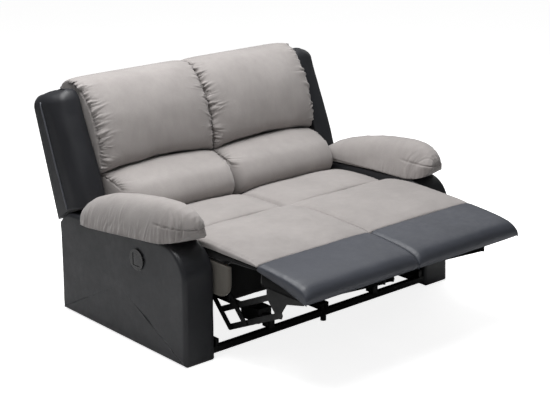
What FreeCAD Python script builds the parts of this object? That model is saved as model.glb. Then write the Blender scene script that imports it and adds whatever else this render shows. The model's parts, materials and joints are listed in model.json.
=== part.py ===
import FreeCAD, Part
import math
import os
import re
import Sketcher
from FreeCAD import Placement, Rotation, Vector

# Two-seat reclining sofa, in millimetres.
# X runs across the seats (the left seat is on -X), Y runs to the back and Z is up. The origin is on the
# floor, in the middle of the open sofa. Pieces are drawn with y = 0 at the fronts of the arms and are then
# moved by "front". Pieces of a back are drawn about its recline pivot: y is then the depth behind the pivot
# and z the height above it along the lean of the back.

SIZES = {
    # Whole sofa
    "overall_width": 1500,
    "footrest_reach": 518,
    # Arms
    "arm_width": 149,
    "arm_depth": 853,
    "arm_height": 482,
    "arm_corner_radius": 131,
    "arm_rear_height": 447,
    "arm_wall": 10,
    "arm_board": 20,
    "skirt_height": 5,
    "side_lift": 28,
    "side_lift_start": 67,
    "arm_pad_overhang": 20,
    "arm_pad_inset": 4,
    "arm_pad_length": 678,
    "arm_pad_front": 12,
    "arm_pad_crown": 634,
    "arm_pad_rear_crown": 512,
    # Recline pivot and the round notch between the arm and the back
    "recline_y": 690,
    "recline_z": 260,
    "notch_radius": 209,
    "notch_gap": 8,
    "back_lean": 18,
    # Back
    "frame_face": 62,
    "frame_rear": 110,
    "back_panel": 10,
    "back_top": 735,
    "wing_top": 716,
    "wing_corner": 55,
    "back_foot": 60,
    "back_board": 20,
    "back_rail": 36,
    "groove_height": 338,
    "upper_crown": 128,
    "cushion_top": 764,
    "lumbar_crown": 226,
    # Seat box
    "seat_clearance": 8,
    "seat_gap": 2,
    "board_thickness": 15,
    "board_top": 405,
    "board_bottom": 271,
    "board_front": 80,
    "board_corner": 65,
    "seat_rear": 500,
    "rail_height": 38,
    "rail_thickness": 20,
    "front_rail_back": 15,
    "spring_wire": 4,
    "spring_pitch": 44,
    "spring_width": 60,
    # Seat cushion
    "seat_crown": 486,
    "seat_seam_y": 250,
    "seat_seam_z": 455,
    "seat_cushion_rear": 555,
    "soft_gap": 0.3,
    "cushion_side_drop": 24,
    # Footrest fold: its axis lies on the top of the pad, with no pin of its own
    "pole_y": 165,
    "pole_z": 470,
    "footrest_seam": 78,
    "footrest_pad_drop": 80,
    "footrest_board": 15,
    "footrest_board_front": 24,
    # Footrest linkage: two levers and two couplers on each side of a seat
    "lever_angle": 134,
    "coupler_angle": 25,
    "lever_near": 180,
    "lever_far": 260,
    "anchor_near": 220,
    "anchor_far": 320,
    "steel_thickness": 4,
    "layer_gap": 1,
    "link_width": 24,
    "pin_radius": 5,
    "pin_fit": 0.05,
    "head_radius": 8,
    "head_height": 3,
    # Base: cross tubes, tracks, shoes and back uprights
    "tube_size": 25,
    "foot_height": 25,
    "foot_radius": 20,
    "front_tube_y": 7,
    "rear_tube_y": 680,
    "track_height": 30,
    "track_width": 18,
    "shoe_length": 60,
    "shoe_height": 26,
    "shoe_width": 14,
    "slide_fit": 0.2,
    "leg_width": 44,
    "front_leg_y": 290,
    "upright_width": 56,
    "pivot_radius": 8,
    "bracket_reach": 190,
    "rear_board_height": 200,
    "rear_board_thickness": 18,
    # Power drive
    "motor_length": 110,
    "motor_width": 70,
    "motor_height": 62,
    "drive_tube_radius": 14,
    "nut_length": 40,
    # Control on the outer side of each arm
    "control_y": 298,
    "control_z": 374,
    "bezel_radius": 44,
    "bezel_height": 6,
    "cup_radius": 36,
    "cup_depth": 26,
    "recess_width": 45,
    "recess_height": 52,
    "button_gap": 1.5,
    "button_proud": 4,
    "button_pin_radius": 2.5,
}

# Lengths that follow from the sizes, as formulas
DERIVED = {
    "front": "(footrest_reach - back_reach) / 2",
    "back_reach": "recline_y + (frame_rear + back_panel) * cos(back_lean) + back_top * sin(back_lean)",
    "arm_out": "overall_width / 2",
    "arm_in": "overall_width / 2 - arm_width",
    "arm_mid": "overall_width / 2 - arm_width / 2",
    "side_out": "arm_in - seat_clearance",
    "side_in": "seat_gap",
    "notch_rear_z": "recline_z + sqrt(notch_radius ^ 2 - (arm_depth - recline_y) ^ 2)",
    "notch_top_y": "recline_y + sqrt(notch_radius ^ 2 - (arm_rear_height - recline_z) ^ 2)",
    "layer_pitch": "steel_thickness + layer_gap",
    "near_anchor_y": "anchor_near * cos(coupler_angle) - pole_y",
    "near_anchor_z": "pole_z - anchor_near * sin(coupler_angle)",
    "far_anchor_y": "anchor_far * cos(coupler_angle) - pole_y",
    "far_anchor_z": "pole_z - anchor_far * sin(coupler_angle)",
    "near_foot_y": "lever_near * cos(lever_angle) - pole_y",
    "near_foot_z": "pole_z - lever_near * sin(lever_angle)",
    "far_foot_y": "lever_far * cos(lever_angle) - pole_y",
    "far_foot_z": "pole_z - lever_far * sin(lever_angle)",
    "rest_board_top": "pole_z - footrest_pad_drop - soft_gap",
    "rest_board_bottom": "pole_z - footrest_pad_drop - soft_gap - footrest_board",
    "rest_seam_y": "-pole_y - footrest_seam",
    "tube_top": "foot_height + tube_size",
    "track_top": "foot_height + tube_size + track_height",
    "cushion_bottom": "board_top + spring_wire + soft_gap",
    "rail_bottom": "board_top - rail_height",
    "seat_mid": "(side_out + side_in) / 2",
    "link_edge": "link_width / 2",
    "button_pivot": "arm_out - cup_depth / 3",
    "drive_axis_z": "track_top + 12",
    "shoe_top": "track_top + slide_fit + shoe_height",
    "rear_leg_y": "seat_rear - 12 - leg_width",
    "track_end": "recline_y + upright_width / 2 + 4",
}

doc = FreeCAD.newDocument("ReclinerLoveseat")
sheet = doc.addObject("Spreadsheet::Sheet", "Sizes")
for row, (alias, value) in enumerate(SIZES.items(), start=1):
    sheet.set(f"A{row}", alias)
    sheet.set(f"B{row}", str(value))
    sheet.setAlias(f"B{row}", alias)
doc.recompute()

NODES = []
SIDES = {"left": -1, "right": 1}


def full(text):
    """The formula with each derived word written out and each size named in the sheet."""
    def swap(match):
        word = match.group(0)
        if word in DERIVED:
            return "(" + full(DERIVED[word]) + ")"
        return "Sizes." + word if word in SIZES else word
    return re.sub(r"[a-z][a-z_]*", swap, text)


def val(text):
    return float(sheet.evalExpression(full(text)))


def bind(thing, prop, text):
    thing.setExpression(prop, full(text))


def node(label, thing, about="front"):
    """Names a finished sub-part and sets its place: in front's frame, or about the leaning back's pivot."""
    thing.Label = label
    if about == "back":
        thing.Placement = Placement(Vector(), Rotation(Vector(-1, 0, 0), val("back_lean")))
        bind(thing, "Placement.Rotation.Angle", "back_lean")
        bind(thing, "Placement.Base.y", "front + recline_y")
        bind(thing, "Placement.Base.z", "recline_z")
    else:
        bind(thing, "Placement.Base.y", "front")
    NODES.append(thing)
    return thing


def block(side, low_x, high_x, low_y, high_y, low_z, high_z):
    box = doc.addObject("Part::Box", "Block")
    bind(box, "Length", f"{high_x} - ({low_x})")
    bind(box, "Width", f"{high_y} - ({low_y})")
    bind(box, "Height", f"{high_z} - ({low_z})")
    bind(box, "Placement.Base.x", low_x if side > 0 else f"-({high_x})")
    bind(box, "Placement.Base.y", low_y)
    bind(box, "Placement.Base.z", low_z)
    return box


def rod(axis, side, radius, start, end, first, second):
    """A round bar along x, y or z from start to end; first and second are its other two coordinates."""
    bar = doc.addObject("Part::Cylinder", "Rod")
    bind(bar, "Radius", radius)
    bind(bar, "Height", f"{end} - ({start})")
    turns = {"x": Rotation(Vector(0, 1, 0), 90), "y": Rotation(Vector(-1, 0, 0), 90), "z": Rotation()}
    bar.Placement = Placement(Vector(), turns[axis])
    if axis == "x":
        place = (start if side > 0 else f"-({end})", first, second)
    elif axis == "y":
        place = (first if side > 0 else f"-({first})", start, second)
    else:
        place = (first if side > 0 else f"-({first})", second, start)
    for letter, text in zip("xyz", place):
        bind(bar, f"Placement.Base.{letter}", text)
    return bar


def fuse(pieces):
    union = doc.addObject("Part::MultiFuse", "Union")
    union.Shapes = pieces
    union.Refine = True
    return union


def cut(base, tools):
    result = doc.addObject("Part::Cut", "Cut")
    result.Base = base
    result.Tool = tools[0] if len(tools) == 1 else fuse(tools)
    return result


def group(pieces):
    compound = doc.addObject("Part::Compound", "Group")
    compound.Links = pieces
    return compound


def solid(shape, mirrored=False):
    """A free-form sub-part; the left one is the mirror image of the right one."""
    feature = doc.addObject("Part::Feature", "Form")
    feature.Shape = shape.mirror(Vector(), Vector(1, 0, 0)) if mirrored else shape
    return feature


def arc_about(centre, radius, start, end):
    turn = [math.atan2(p[1] - centre[1], p[0] - centre[0]) for p in (start, end)]
    if turn[1] < turn[0]:
        turn[1] += 2 * math.pi
    circle = Part.Circle(Vector(centre[0], centre[1], 0), Vector(0, 0, 1), radius)
    return Part.ArcOfCircle(circle, turn[0], turn[1])


def plate(side, low_x, high_x, outline, holes=()):
    """A plate cut to an outline in the YZ plane.

    The outline runs counter-clockwise. Each corner is (y, z), or (y, z, radius, (centre y, centre z)) where
    a round edge starts. Each hole is (y, z, radius).
    """
    body = doc.addObject("PartDesign::Body", "Plate")
    sketch = body.newObject("Sketcher::SketchObject", "Outline")
    plane = next(f for f in body.Origin.OriginFeatures if f.Role == "YZ_Plane")
    sketch.AttachmentSupport = [(plane, "")]
    sketch.MapMode = "FlatFace"
    corners = [(val(c[0]), val(c[1])) for c in outline]
    for i, corner in enumerate(outline):
        start, end = corners[i], corners[(i + 1) % len(corners)]
        if len(corner) == 2:
            edge = Part.LineSegment(Vector(*start, 0), Vector(*end, 0))
        else:
            centre = (val(corner[3][0]), val(corner[3][1]))
            edge = arc_about(centre, val(corner[2]), start, end)
        sketch.addGeometry(edge)
    count = len(outline)
    for i, corner in enumerate(outline):
        sketch.addConstraint(Sketcher.Constraint("Coincident", i, 2, (i + 1) % count, 1))
        for kind, text in (("DistanceX", corner[0]), ("DistanceY", corner[1])):
            index = sketch.addConstraint(Sketcher.Constraint(kind, -1, 1, i, 1, val(text)))
            bind(sketch, f"Constraints[{index}]", text)
        if len(corner) > 2:
            index = sketch.addConstraint(Sketcher.Constraint("Radius", i, val(corner[2])))
            bind(sketch, f"Constraints[{index}]", corner[2])
    for y, z, radius in holes:
        circle = Part.Circle(Vector(val(y), val(z), 0), Vector(0, 0, 1), val(radius))
        hole = sketch.addGeometry(circle)
        sketch.addConstraint(Sketcher.Constraint("Radius", hole, val(radius)))
        bind(sketch, f"Constraints[{sketch.ConstraintCount - 1}]", radius)
        for kind, text in (("DistanceX", y), ("DistanceY", z)):
            index = sketch.addConstraint(Sketcher.Constraint(kind, -1, 1, hole, 3, val(text)))
            bind(sketch, f"Constraints[{index}]", text)
    pad = body.newObject("PartDesign::Pad", "Thickness")
    pad.Profile = sketch
    bind(pad, "Length", f"{high_x} - ({low_x})")
    bind(body, "Placement.Base.x", low_x if side > 0 else f"-({high_x})")
    sketch.Visibility = False
    return body


def layer(row, number):
    """The x range of one layer of steel beside the outer or the inner board of a seat."""
    if row == "outer":
        low = f"side_out - board_thickness - steel_thickness - {number} * layer_pitch"
    else:
        low = f"side_in + board_thickness + {number} * layer_pitch"
    return low, f"{low} + steel_thickness"


def pin(side, row, y, z, head_layer):
    """A shouldered pin across link layer 1, with its head in the given layer or beyond it."""
    low, high = layer(row, 1)
    if row == "outer":
        start, end = layer(row, 2)[0], high
        head_end = layer(row, 2)[head_layer]
        head_start = f"{head_end} - head_height"
    else:
        start, end = low, layer(row, 2)[1]
        head_start = layer(row, 2)[1 - head_layer]
        head_end = f"{head_start} + head_height"
    shank = rod("x", side, "pin_radius", start, end, y, z)
    head = rod("x", side, "head_radius", head_start, head_end, y, z)
    return [shank, head]


def link(side, row, number, length, angle, at_y, at_z, pins=(), holes=()):
    """A flat steel link that points down from its first pivot by the given angle from +Y."""
    low, high = layer(row, number)
    pieces = [block(side, low, high, "0", length, "-link_edge", "link_edge")]
    pieces += [rod("x", side, "link_edge", low, high, spot, "0") for spot in ("0", length)]
    for spot in pins:
        pieces += pin(side, row, spot, "0", 0)
    result = fuse(pieces)
    if holes:
        tools = [rod("x", side, "pin_radius + pin_fit", low, high, spot, "0") for spot in holes]
        result = cut(result, tools)
    result.Placement = Placement(Vector(), Rotation(Vector(-1, 0, 0), val(angle)))
    bind(result, "Placement.Rotation.Angle", angle)
    bind(result, "Placement.Base.y", at_y)
    bind(result, "Placement.Base.z", at_z)
    return result


def ring(points, place):
    """A closed wire. points are corners, and a corner given as (via, end) is reached by an arc."""
    spots = [p[-1] if isinstance(p[0], tuple) else p for p in points]
    edges = []
    for i, point in enumerate(points):
        start, end = place(spots[i - 1]), place(spots[i])
        if isinstance(point[0], tuple):
            edges.append(Part.Arc(start, place(point[0]), end).toShape())
        else:
            edges.append(Part.LineSegment(start, end).toShape())
    return Part.Wire(edges)


def across(x):
    return lambda spot: Vector(x, spot[0], spot[1])


def along(y):
    return lambda spot: Vector(spot[0], y, spot[1])


def loft(wires):
    return Part.makeLoft(wires, True, False)


def prism(points, low_x, high_x):
    """A solid with a straight-sided outline in the YZ plane."""
    wire = ring(points, across(low_x))
    return Part.Face(wire).extrude(Vector(high_x - low_x, 0, 0))


def stations(low, high, inset):
    """Places across a cushion and how far each is up to its crown, from 0 at an end to 1 in the middle."""
    return [(low, 0.0), (low + inset, 0.62), ((low + high) / 2, 1.0), (high - inset, 0.62), (high, 0.0)]


# Arms

def arm_outline(wall):
    """The side outline of an arm, moved in by a wall."""
    corner = ("arm_corner_radius", "arm_height - arm_corner_radius")
    notch = f"notch_radius - {wall}"
    rear_y = f"arm_depth - {wall}"
    top_z = f"arm_rear_height - {wall}"
    rear_z = f"recline_z + sqrt(({notch}) ^ 2 - ({rear_y} - recline_y) ^ 2)"
    top_y = f"recline_y + sqrt(({notch}) ^ 2 - ({top_z} - recline_z) ^ 2)"
    low_z = "skirt_height" if wall == "0" else "0"
    return [
        (wall, low_z),
        (rear_y, low_z),
        (rear_y, rear_z, notch, ("recline_y", "recline_z")),
        (top_y, top_z),
        (corner[0], f"arm_height - {wall}", f"arm_corner_radius - {wall}", corner),
        (wall, corner[1]),
    ]


def make_arm_cover(name, side):
    shell = plate(side, "arm_in", "arm_out", arm_outline("0"))
    hollow = plate(side, "arm_in + arm_wall", "arm_out - arm_wall", arm_outline("arm_wall"))
    lift = block(side, "arm_in - 1", "arm_in + arm_wall", "side_lift_start", "arm_depth - arm_wall",
                 "0", "side_lift")
    control = rod("x", side, "cup_radius + soft_gap", "arm_out - arm_wall - 1", "arm_out + 1",
                  "control_y", "control_z")
    node(f"{name}_arm_cover", cut(shell, [hollow, lift, control]))


def make_arm_frames():
    boards = []
    for side in SIDES.values():
        low, high = "arm_in + arm_wall", "arm_out - arm_wall"
        front, rear = "arm_wall + arm_board", "arm_depth - arm_wall - arm_board"
        floor, top = "foot_height + arm_board", "arm_rear_height - arm_wall - 4"
        boards += [
            block(side, low, high, "arm_wall", front, "foot_height", "arm_height - arm_corner_radius"),
            block(side, low, high, rear, f"{rear} + arm_board", "foot_height", "notch_rear_z - arm_board"),
            block(side, low, high, front, rear, "foot_height", floor),
            block(side, low, high, "arm_corner_radius", "notch_top_y - arm_board", f"{top} - arm_board", top),
            block(side, low, high, "arm_depth / 2", "arm_depth / 2 + arm_board", floor, f"{top} - arm_board"),
        ]
    node("arm_frames", group(boards))


def make_arm_pad(name, side):
    """A domed pillow over the top of the arm, cut to sit on it."""
    low = val("arm_in + arm_pad_inset")
    high = val("arm_out + arm_pad_overhang")
    mid, half = (low + high) / 2, (high - low) / 2
    start, length = val("arm_pad_front"), val("arm_pad_length")
    crown, rear_crown, top = val("arm_pad_crown"), val("arm_pad_rear_crown"), val("arm_height")
    fall = crown - rear_crown
    # share of the length, share of the fall, half width share, underside below the arm's top
    shapes = [(0.0, 0.36, 0.84, -58), (0.06, 0.1, 0.94, -32), (0.2, 0.0, 1.0, -2), (0.42, 0.09, 1.0, 17),
              (0.68, 0.34, 1.0, 38), (0.88, 0.68, 0.98, 53), (1.0, 1.0, 0.9, 62)]
    wires = []
    for share, drop, width, under in shapes:
        side_half = half * width
        bottom, peak = top - under, crown - fall * drop
        shoulder = bottom + 0.68 * (peak - bottom)
        waist = bottom + 0.3 * (peak - bottom)
        points = [
            (mid + 0.93 * side_half, bottom),
            ((mid + side_half, waist), (mid + 0.8 * side_half, shoulder)),
            ((mid, peak), (mid - 0.8 * side_half, shoulder)),
            ((mid - side_half, waist), (mid - 0.93 * side_half, bottom)),
        ]
        wires.append(ring(points, along(start + length * share)))
    rest = val("soft_gap")
    corner, height = val("arm_corner_radius"), val("arm_height")
    saddle_wire = ring([
        (val("arm_depth"), -1.0),
        (val("arm_depth"), val("arm_rear_height") - 40),
        (val("notch_top_y"), val("arm_rear_height") + rest),
        (corner, height + rest),
        ((corner - (corner + rest) * math.sqrt(0.5), height - corner + (corner + rest) * math.sqrt(0.5)),
         (-rest, height - corner)),
        (-rest, -1.0),
    ], across(val("arm_in") - 60))
    saddle = Part.Face(saddle_wire).extrude(Vector(val("arm_width") + 60 + rest, 0, 0))
    node(f"{name}_arm_pad", solid(loft(wires).cut(saddle), side < 0))


# Controls

def make_control(name, side):
    mouth = "arm_out + bezel_height"
    back = "arm_out - cup_depth"
    flange = rod("x", side, "bezel_radius", "arm_out", mouth, "control_y", "control_z")
    cup = rod("x", side, "cup_radius", back, "arm_out", "control_y", "control_z")
    recess = block(side, f"{back} + 3", f"{mouth} + 1", "control_y - recess_width / 2",
                   "control_y + recess_width / 2", "control_z - recess_height / 2",
                   "control_z + recess_height / 2")
    hole = rod("y", side, "button_pin_radius + pin_fit", "control_y - recess_width / 2 - 4",
               "control_y + recess_width / 2 + 4", "button_pivot", "control_z")
    node(f"{name}_control_bezel", cut(fuse([flange, cup]), [recess, hole]))
    half_width, half_height = "recess_width / 2 - button_gap", "recess_height / 2 - button_gap"
    cap = block(side, "button_pivot - 5", "arm_out + button_proud", f"control_y - ({half_width})",
                f"control_y + {half_width}", f"control_z - ({half_height})", f"control_z + {half_height}")
    axle = rod("y", side, "button_pin_radius", "control_y - recess_width / 2 - 3",
               "control_y + recess_width / 2 + 3", "button_pivot", "control_z")
    node(f"{name}_control_button", fuse([cap, axle]))


# Base

def make_base():
    tubes = []
    for place in ("front_tube_y", "rear_tube_y"):
        tubes.append(block(1, "soft_gap - arm_in", "arm_in - soft_gap", place, f"{place} + tube_size",
                           "foot_height", "tube_top"))
    node("cross_tubes", group(tubes))
    feet = []
    for side in SIDES.values():
        for place in ("foot_radius + 2 * arm_board", "arm_depth - foot_radius - 2 * arm_board"):
            feet.append(rod("z", side, "foot_radius", "0", "foot_height", "arm_mid", place))
    for place in ("front_tube_y", "rear_tube_y"):
        feet.append(rod("z", 1, "tube_size / 2", "0", "foot_height", "0", f"{place} + tube_size / 2"))
    node("feet", group(feet))
    rear_low = "arm_depth - rear_board_thickness"
    board = block(1, "soft_gap - arm_in", "arm_in - soft_gap", rear_low, "arm_depth", "foot_height",
                  "foot_height + rear_board_height")
    socket_hole = block(1, "80", "110", f"{rear_low} - 1", "arm_depth + 1", "110", "132")
    node("rear_board", cut(board, [socket_hole]))
    rim = block(1, "76", "114", "arm_depth", "arm_depth + 2", "106", "136")
    barrel = block(1, "80.2", "109.8", f"{rear_low} - 6", "arm_depth", "110.2", "131.8")
    mouth = block(1, "84", "106", "arm_depth - 10", "arm_depth + 3", "114", "128")
    node("power_inlet", cut(fuse([rim, barrel]), [mouth]))
    tracks, uprights = [], []
    for side in SIDES.values():
        for row in ("outer", "inner"):
            low, high = layer(row, 0)
            edge = low if row == "outer" else f"{high} - track_width"
            tracks.append(block(side, edge, f"{edge} + track_width", "front_tube_y + 3", "track_end",
                                "tube_top", "track_top"))
            stem = block(side, low, high, "recline_y - upright_width / 2", "recline_y + upright_width / 2",
                         "track_top", "recline_z")
            crown = rod("x", side, "upright_width / 2", low, high, "recline_y", "recline_z")
            bearing = rod("x", side, "pivot_radius + pin_fit", low, high, "recline_y", "recline_z")
            uprights.append(cut(fuse([stem, crown]), [bearing]))
    node("seat_tracks", group(tracks))
    node("back_uprights", group(uprights))


def make_motor(name, side):
    """The drive's motor and gearbox, its guide tube and its front clamp on the cross tube."""
    low, high = "seat_mid - motor_width / 2", "seat_mid + motor_width / 2"
    front_y = "front_tube_y + tube_size + 20"
    motor = block(side, low, high, front_y, f"{front_y} + motor_length", "drive_axis_z - motor_height / 2",
                  "drive_axis_z + motor_height / 2")
    tube = rod("y", side, "drive_tube_radius", f"{front_y} + motor_length", "rear_tube_y", "seat_mid",
               "drive_axis_z")
    clamp = block(side, "seat_mid - 14", "seat_mid + 14", "front_tube_y", front_y, "tube_top",
                  "drive_axis_z + 10")
    stay = block(side, "seat_mid - 10", "seat_mid + 10", "rear_tube_y - 8", "rear_tube_y + tube_size",
                 "tube_top", "drive_axis_z + 14")
    node(f"{name}_actuator_motor", fuse([motor, tube, clamp, stay]))


# Seats

def make_seat(name, side):
    boards = []
    outline = [
        ("board_corner - board_front", "board_bottom"),
        ("seat_rear", "board_bottom"),
        ("seat_rear", "board_top"),
        ("-board_front", "board_top"),
        ("-board_front", "board_bottom + board_corner", "board_corner",
         ("board_corner - board_front", "board_bottom + board_corner")),
    ]
    for low in ("side_in", "side_out - board_thickness"):
        boards.append(plate(side, low, f"{low} + board_thickness", outline))
    node(f"{name}_seat_boards", group(boards))
    low, high = layer("inner", 0)[1], layer("outer", 0)[0]
    rails = [
        block(side, low, high, start, end, "rail_bottom", "board_top")
        for start, end in (("-front_rail_back", "rail_thickness - front_rail_back"),
                           ("seat_rear - rail_thickness", "seat_rear"))
    ]
    node(f"{name}_seat_rails", group(rails))
    node(f"{name}_seat_springs", solid(make_springs(), side < 0))
    plates = []
    for row in ("outer", "inner"):
        low, high = layer(row, 0)
        body = plate(side, low, high, [
            ("-40", "near_anchor_z - 32"),
            ("20", "near_anchor_z - 27"),
            ("far_anchor_y - 25", "far_anchor_z - 30"),
            ("front_leg_y - 12", "far_anchor_z - 35"),
            ("front_leg_y", "shoe_top"),
            ("front_leg_y + leg_width", "shoe_top"),
            ("front_leg_y + leg_width + 12", "far_anchor_z - 35"),
            ("rear_leg_y - 12", "far_anchor_z - 35"),
            ("rear_leg_y", "shoe_top"),
            ("rear_leg_y + leg_width", "shoe_top"),
            ("seat_rear", "board_top - 40"),
            ("seat_rear", "board_top - 3"),
            ("-40", "board_top - 3"),
        ])
        pins = []
        for y, z in (("near_anchor_y", "near_anchor_z"), ("far_anchor_y", "far_anchor_z")):
            pins += anchor_pin(side, row, y, z)
        plates.append(fuse([body] + pins))
    node(f"{name}_seat_plates", group(plates))
    make_shoes(name, side)
    make_drive_nut(name, side)
    make_seat_cushion(name, side)


def anchor_pin(side, row, y, z):
    """The seat plate's own pin, through link layer 1, with its head in layer 2."""
    first, second = layer(row, 1), layer(row, 2)
    plate_low, plate_high = layer(row, 0)
    if row == "outer":
        shank = (f"{second[1]} - head_height", plate_low)
        head = (f"{second[1]} - head_height", second[1])
    else:
        shank = (plate_high, f"{second[0]} + head_height")
        head = (second[0], f"{second[0]} + head_height")
    return [rod("x", side, "pin_radius", *shank, y, z), rod("x", side, "head_radius", *head, y, z)]


def make_shoes(name, side):
    shoes = []
    for row in ("outer", "inner"):
        low, high = layer(row, 0)
        edge = low if row == "outer" else f"{high} - shoe_width"
        for leg in ("front_leg_y", "rear_leg_y"):
            start = f"{leg} + leg_width / 2 - shoe_length / 2"
            shoes.append(block(side, edge, f"{edge} + shoe_width", start,
                               f"{start} + shoe_length", "track_top + slide_fit", "shoe_top"))
    node(f"{name}_slide_shoes", group(shoes))


def make_drive_nut(name, side):
    """The block that the drive moves along its tube, with its arm up to the rear rail."""
    start, end = "seat_rear - nut_length", "seat_rear"
    nut = block(side, "seat_mid - 24", "seat_mid + 24", start, end, "drive_axis_z - 24",
                "drive_axis_z + 24")
    bore = rod("y", side, "drive_tube_radius + pin_fit", f"{start} - 1", f"{end} + 1", "seat_mid",
               "drive_axis_z")
    arm = block(side, "seat_mid - 3", "seat_mid + 3", start, end, "drive_axis_z + 24", "rail_bottom")
    node(f"{name}_drive_nut", fuse([cut(nut, [bore]), arm]))


def make_springs():
    """Flat zigzag seat springs that run from the front rail to the rear rail."""
    wire, pitch, half = val("spring_wire"), val("spring_pitch"), val("spring_width") / 2
    start, end = -val("front_rail_back"), val("seat_rear")
    low, high = val("side_in + board_thickness"), val("side_out - board_thickness")
    turns = int((end - start) / pitch)
    step = (end - start - wire) / turns
    count = 4
    strips = []
    for i in range(count):
        mid = low + (high - low) * (i + 0.5) / count
        bars = []
        for k in range(turns + 1):
            y = start + k * step
            bars.append(Part.makeBox(2 * half, wire, wire, Vector(mid - half, y, val("board_top"))))
            if k < turns:
                x = mid + (half - wire if k % 2 else -half)
                bars.append(Part.makeBox(wire, step + wire, wire, Vector(x, y, val("board_top"))))
        strips.append(bars[0].multiFuse(bars[1:]).removeSplitter())
    return Part.Compound(strips)


def mitre(way, low_x, high_x):
    """What is cut away below the fold's axis, at 45 degrees, behind it (1) or in front of it (-1)."""
    y, z = -val("pole_y"), val("pole_z")
    depth = z - val("cushion_bottom") + 5
    corners = [(y, z), (y - way * depth, z), (y - way * depth, z - depth), (y + way * depth, z - depth)]
    return prism(corners, low_x - 5, high_x + 5)


def make_seat_cushion(name, side):
    """The seat: a front panel that reaches over the box to the footrest and a rear panel, with a seam."""
    low, high = val("soft_gap"), val("arm_in") - 1
    bottom, nose = val("cushion_bottom"), -val("pole_y") + val("soft_gap")
    rear, seam_y = val("seat_cushion_rear"), val("seat_seam_y")
    crown, seam_z = val("seat_crown"), val("seat_seam_z")
    drop = val("cushion_side_drop")
    wires = []
    for x, share in stations(low, high, 70):
        down = drop * (1 - share)
        tuck = 8 * (1 - share)
        front_z = val("pole_z") + 6 - down * 0.5
        points = [
            (rear - 14 - tuck, bottom),
            ((rear - tuck, bottom + 9), (rear - 16 - tuck, bottom + 19 - down * 0.3)),
            ((seam_y + 160, seam_z + 6 - down), (seam_y + 12, seam_z - 2 - down)),
            ((seam_y, seam_z - 10 - down), (seam_y - 12, seam_z - 2 - down)),
            ((60.0, crown - down), (nose, front_z)),
            (nose, bottom),
        ]
        wires.append(ring(points, across(x)))
    node(f"{name}_seat_cushion", solid(loft(wires).cut(mitre(1, low, high)), side < 0))


# Footrests

def make_footrest(name, side):
    low, high = layer("inner", 1)[0], layer("outer", 1)[1]
    front, rear = "footrest_board_front - footrest_reach", "rest_seam_y"
    board = block(side, low, high, front, rear, "rest_board_bottom", "rest_board_top")
    node(f"{name}_footrest_board", group([board]))
    brackets = []
    for row in ("outer", "inner"):
        low, high = layer(row, 1)
        hole = "pin_radius + pin_fit"
        brackets.append(plate(side, low, high, [
            ("near_foot_y + 15", "near_foot_z - 6"),
            ("near_foot_y + 15", "rest_board_bottom"),
            ("far_foot_y - 134", "rest_board_bottom"),
            ("far_foot_y - 134", "rest_board_bottom - 13"),
            ("far_foot_y - 40", "far_foot_z + 56"),
            ("far_foot_y - 14", "far_foot_z + 16"),
            ("far_foot_y - 14", "far_foot_z - 10"),
            ("far_foot_y + 8", "far_foot_z - 15"),
        ], [("near_foot_y", "near_foot_z", hole), ("far_foot_y", "far_foot_z", hole)]))
    node(f"{name}_footrest_brackets", group(brackets))
    node(f"{name}_calf_pad", solid(calf_pad(), side < 0))
    node(f"{name}_footrest_pad", solid(footrest_pad(), side < 0))


def calf_pad():
    """The pad over the fold, mitred at 45 degrees below the fold's axis."""
    low, high = val("soft_gap"), val("side_out")
    rear, front = -val("pole_y") - val("soft_gap"), val("rest_seam_y")
    bottom = val("cushion_bottom")
    wires = []
    for x, share in stations(low, high, 70):
        down = val("cushion_side_drop") * (1 - share) * 0.5
        points = [
            (rear, bottom),
            (rear, val("pole_z") + 6 - down),
            (((rear + front) / 2, val("pole_z") + 4 - down), (front, val("pole_z") - down)),
            (front, bottom),
        ]
        wires.append(ring(points, across(x)))
    return loft(wires).cut(mitre(-1, low, high))


def footrest_pad():
    """The end of the footrest, with a rounded front."""
    low, high = val("soft_gap"), val("side_out")
    rear, tip = val("rest_seam_y"), -val("footrest_reach")
    bottom, top = val("rest_board_top") + val("soft_gap"), val("pole_z")
    wires = []
    for x, share in stations(low, high, 60):
        down = val("cushion_side_drop") * (1 - share) * 0.5
        tuck = 10 * (1 - share)
        points = [
            (rear, bottom),
            (rear, top - down),
            ((rear - 110, top - 4 - down), (tip + 70 + tuck, top - 20 - down)),
            ((tip + 3 + tuck, top - 58 - down * 0.5), (tip + 22 + tuck, bottom)),
        ]
        wires.append(ring(points, across(x)))
    return loft(wires)


def make_links(name, side):
    rows = ("outer", "inner")
    for label, y, z in (("front_lever", "near_anchor_y", "near_anchor_z"),
                        ("rear_lever", "far_anchor_y", "far_anchor_z")):
        holes = ("0", "lever_near", "lever_far")
        links = [link(side, row, 1, "lever_far", "lever_angle", y, z, holes=holes) for row in rows]
        node(f"{name}_{label}", group(links))
    for label, y, z in (("upper_coupler", "near_foot_y", "near_foot_z"),
                        ("lower_coupler", "far_foot_y", "far_foot_z")):
        pins = ("0", "anchor_near", "anchor_far")
        links = [link(side, row, 2, "anchor_far", "coupler_angle", y, z, pins=pins) for row in rows]
        node(f"{name}_{label}", group(links))


# Backs

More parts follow.
